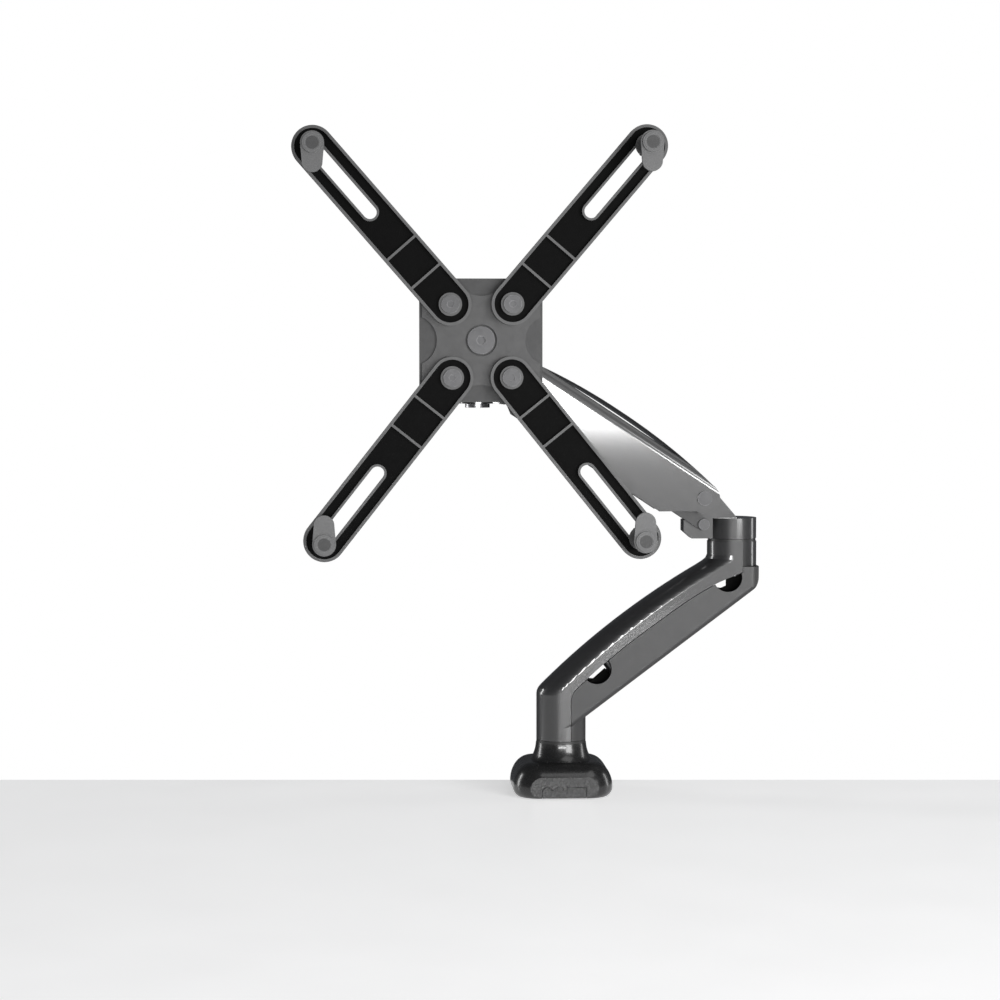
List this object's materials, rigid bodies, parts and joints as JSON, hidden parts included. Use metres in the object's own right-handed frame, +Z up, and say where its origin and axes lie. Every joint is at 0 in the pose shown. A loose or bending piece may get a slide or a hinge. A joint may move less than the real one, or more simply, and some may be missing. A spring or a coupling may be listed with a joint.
{
  "type": "monitor arm",
  "caption": "Desk-clamped screen arm with a rigid sloping riser, a gas-sprung upper link and a slotted cross frame whose hooks grip a screen without rear holes.",
  "frame": {"origin": "swivel axis on the desk surface, under the base pad", "axes": "+Z up along the swivel axis, +X along the riser towards the elbow, -Y towards the person at the screen"},
  "size_m": [0.453, 0.218, 0.7841],
  "materials": {
    "base_gloss": "gloss black",
    "cast_black": "satin black powder coat",
    "cover_black": "fine-grained satin black",
    "frame_black": "satin black powder coat",
    "hook_grey": "satin dark grey",
    "steel_black": "black coated steel",
    "steel": "plain steel",
    "bush": "pale acetal",
    "rubber": "black rubber",
    "rib_black": "matt black",
    "ring_black": "black washer"
  },
  "bodies": {
    "base": {"base_cover": "base_gloss", "cable_door": "base_gloss", "base_plate": "steel_black", "base_pad": "rubber", "base_spindle": "steel", "spindle_cap": "steel", "base_ring": "ring_black", "clamp_bracket": "steel_black", "clamp_jaw": "steel_black", "clamp_bolts": "steel", "plate_screws": "steel"},
    "clamp_pad": {"clamp_pad": "steel_black", "clamp_pad_rubber": "rubber"},
    "clamp_screw": {"clamp_screw": "steel", "clamp_handle": "steel"},
    "riser": {"riser_casting": "cast_black", "riser_cover": "cover_black", "cable_rib": "rib_black", "riser_screws": "steel", "base_bushes": "bush", "elbow_bushes": "bush", "elbow_ring": "ring_black"},
    "elbow": {"elbow_knuckle": "cast_black", "elbow_spindle": "steel", "elbow_pins": "steel"},
    "spring_arm": {"spring_arm_shell": "cast_black", "spring_arm_cover": "cover_black", "tension_block": "steel"},
    "tension_screw": {"tension_screw": "steel"},
    "parallel_link": {"parallel_link": "steel_black"},
    "gas_cylinder": {"gas_cylinder": "steel_black"},
    "gas_rod": {"gas_rod": "steel"},
    "wrist": {"wrist_knuckle": "cast_black", "wrist_pins": "steel", "wrist_ring": "ring_black"},
    "yoke": {"head_yoke": "cast_black", "wrist_spindle": "steel", "tilt_bolt": "steel"},
    "tilt": {"tilt_block": "cast_black", "rotation_bolt": "steel"},
    "frame": {"vesa_plate": "steel_black", "adapter_hub": "frame_black", "hub_screws": "steel", "arm_pivot_bolts": "steel"},
    "arm_tl": {"adapter_arm_tl": "frame_black"},
    "clip_tl": {"clip_post_tl": "steel_black"},
    "hook_tl": {"hook_tl": "hook_grey"},
    "knob_tl": {"knob_tl": "hook_grey"},
    "arm_tr": {"adapter_arm_tr": "frame_black"},
    "clip_tr": {"clip_post_tr": "steel_black"},
    "hook_tr": {"hook_tr": "hook_grey"},
    "knob_tr": {"knob_tr": "hook_grey"},
    "arm_bl": {"adapter_arm_bl": "frame_black"},
    "clip_bl": {"clip_post_bl": "steel_black"},
    "hook_bl": {"hook_bl": "hook_grey"},
    "knob_bl": {"knob_bl": "hook_grey"},
    "arm_br": {"adapter_arm_br": "frame_black"},
    "clip_br": {"clip_post_br": "steel_black"},
    "hook_br": {"hook_br": "hook_grey"},
    "knob_br": {"knob_br": "hook_grey"}
  },
  "joints": [
    {"name": "base_swivel", "type": "hinge", "parent": "base", "child": "riser", "pos_m": [0, 0, 0.075], "axis": [0, 0, 1], "range_deg": [-180, 180]},
    {"name": "clamp_turn", "type": "hinge", "parent": "clamp_pad", "child": "clamp_screw", "pos_m": [0, 0.034, -0.09], "axis": [0, 0, 1], "range_deg": [-2882, 2162]},
    {"name": "clamp_travel", "type": "slide", "parent": "base", "child": "clamp_pad", "axis": [0, 0, 1], "range_m": [-0.024, 0.018]},
    {"name": "elbow", "type": "hinge", "parent": "riser", "child": "elbow", "pos_m": [0.168, 0, 0.25], "axis": [0, 0, 1], "range_deg": [-170, 170]},
    {"name": "lift", "type": "hinge", "parent": "elbow", "child": "spring_arm", "pos_m": [0.138, 0, 0.29], "axis": [0, 1, 0], "range_deg": [-56, 10]},
    {"name": "link_swing", "type": "hinge", "parent": "elbow", "child": "parallel_link", "pos_m": [0.138, 0, 0.264], "axis": [0, 1, 0], "range_deg": [-56, 10]},
    {"name": "wrist_level", "type": "hinge", "parent": "spring_arm", "child": "wrist", "pos_m": [-0.05402, 0, 0.41661], "axis": [0, 1, 0], "range_deg": [-10, 56]},
    {"name": "gas_swing", "type": "hinge", "parent": "spring_arm", "child": "gas_cylinder", "pos_m": [-0.01645, 0, 0.39184], "axis": [0, 1, 0], "range_deg": [-0.15, 0.84]},
    {"name": "gas_stroke", "type": "slide", "parent": "gas_cylinder", "child": "gas_rod", "axis": [0.8025, 0, -0.5967], "range_m": [-0.01176, 0.0021]},
    {"name": "tension_turn", "type": "hinge", "parent": "spring_arm", "child": "tension_screw", "pos_m": [-0.02897, 0, 0.4001], "axis": [-0.8348, 0, 0.5505], "continuous": true},
    {"name": "wrist_swivel", "type": "hinge", "parent": "wrist", "child": "yoke", "pos_m": [-0.082, 0, 0.43], "axis": [0, 0, 1], "range_deg": [-90, 12]},
    {"name": "tilt", "type": "hinge", "parent": "yoke", "child": "tilt", "pos_m": [-0.082, -0.04, 0.443], "axis": [-1, 0, 0], "range_deg": [-15, 45]},
    {"name": "rotation", "type": "hinge", "parent": "tilt", "child": "frame", "pos_m": [-0.082, -0.065, 0.443], "axis": [0, 1, 0], "range_deg": [-90, 90]},
    {"name": "arm_swing_tl", "type": "hinge", "parent": "frame", "child": "arm_tl", "pos_m": [-0.11164, -0.076, 0.47686], "axis": [0, 1, 0], "range_deg": [-8, 8]},
    {"name": "clip_slide_tl", "type": "slide", "parent": "arm_tl", "child": "clip_tl", "axis": [-0.6587, 0, 0.7524], "range_m": [-0.08, 0]},
    {"name": "knob_turn_tl", "type": "hinge", "parent": "hook_tl", "child": "knob_tl", "pos_m": [-0.24041, -0.128, 0.62396], "axis": [0, 1, 0], "range_deg": [0, 2522]},
    {"name": "hook_travel_tl", "type": "slide", "parent": "clip_tl", "child": "hook_tl", "axis": [0, 1, 0], "range_m": [0, 0.028]},
    {"name": "arm_swing_tr", "type": "hinge", "parent": "frame", "child": "arm_tr", "pos_m": [-0.05283, -0.076, 0.47727], "axis": [0, 1, 0], "range_deg": [-8, 8]},
    {"name": "clip_slide_tr", "type": "slide", "parent": "arm_tr", "child": "clip_tr", "axis": [0.6481, 0, 0.7615], "range_m": [-0.08, 0]},
    {"name": "knob_turn_tr", "type": "hinge", "parent": "hook_tr", "child": "knob_tr", "pos_m": [0.07387, -0.128, 0.62615], "axis": [0, 1, 0], "range_deg": [0, 2522]},
    {"name": "hook_travel_tr", "type": "slide", "parent": "clip_tr", "child": "hook_tr", "axis": [0, 1, 0], "range_m": [0, 0.028]},
    {"name": "arm_swing_bl", "type": "hinge", "parent": "frame", "child": "arm_bl", "pos_m": [-0.10983, -0.076, 0.40764], "axis": [0, 1, 0], "range_deg": [-8, 8]},
    {"name": "clip_slide_bl", "type": "slide", "parent": "arm_bl", "child": "clip_bl", "axis": [-0.6184, 0, -0.7859], "range_m": [-0.08, 0]},
    {"name": "knob_turn_bl", "type": "hinge", "parent": "hook_bl", "child": "knob_bl", "pos_m": [-0.23073, -0.128, 0.254], "axis": [0, 1, 0], "range_deg": [0, 2522]},
    {"name": "hook_travel_bl", "type": "slide", "parent": "clip_bl", "child": "hook_bl", "axis": [0, 1, 0], "range_m": [0, 0.028]},
    {"name": "arm_swing_br", "type": "hinge", "parent": "frame", "child": "arm_br", "pos_m": [-0.0538, -0.076, 0.40793], "axis": [0, 1, 0], "range_deg": [-8, 8]},
    {"name": "clip_slide_br", "type": "slide", "parent": "arm_br", "child": "clip_br", "axis": [0.6266, 0, -0.7793], "range_m": [-0.08, 0]},
    {"name": "knob_turn_br", "type": "hinge", "parent": "hook_br", "child": "knob_br", "pos_m": [0.0687, -0.128, 0.25557], "axis": [0, 1, 0], "range_deg": [0, 2522]},
    {"name": "hook_travel_br", "type": "slide", "parent": "clip_br", "child": "hook_br", "axis": [0, 1, 0], "range_m": [0, 0.028]}
  ],
  "couplings": [
    {"joint": "clamp_turn", "follows": "clamp_travel", "rad_per_m": 2094.4},
    {"joint": "link_swing", "follows": "lift", "ratio": 1},
    {"joint": "wrist_level", "follows": "lift", "ratio": -1},
    {"joint": "gas_swing", "follows": "lift", "ratio": -0.015},
    {"joint": "gas_stroke", "follows": "lift", "m_per_rad": 0.01203},
    {"joint": "knob_turn_tl", "follows": "hook_travel_tl", "rad_per_m": 1570.8},
    {"joint": "knob_turn_tr", "follows": "hook_travel_tr", "rad_per_m": 1570.8},
    {"joint": "knob_turn_bl", "follows": "hook_travel_bl", "rad_per_m": 1570.8},
    {"joint": "knob_turn_br", "follows": "hook_travel_br", "rad_per_m": 1570.8}
  ]
}
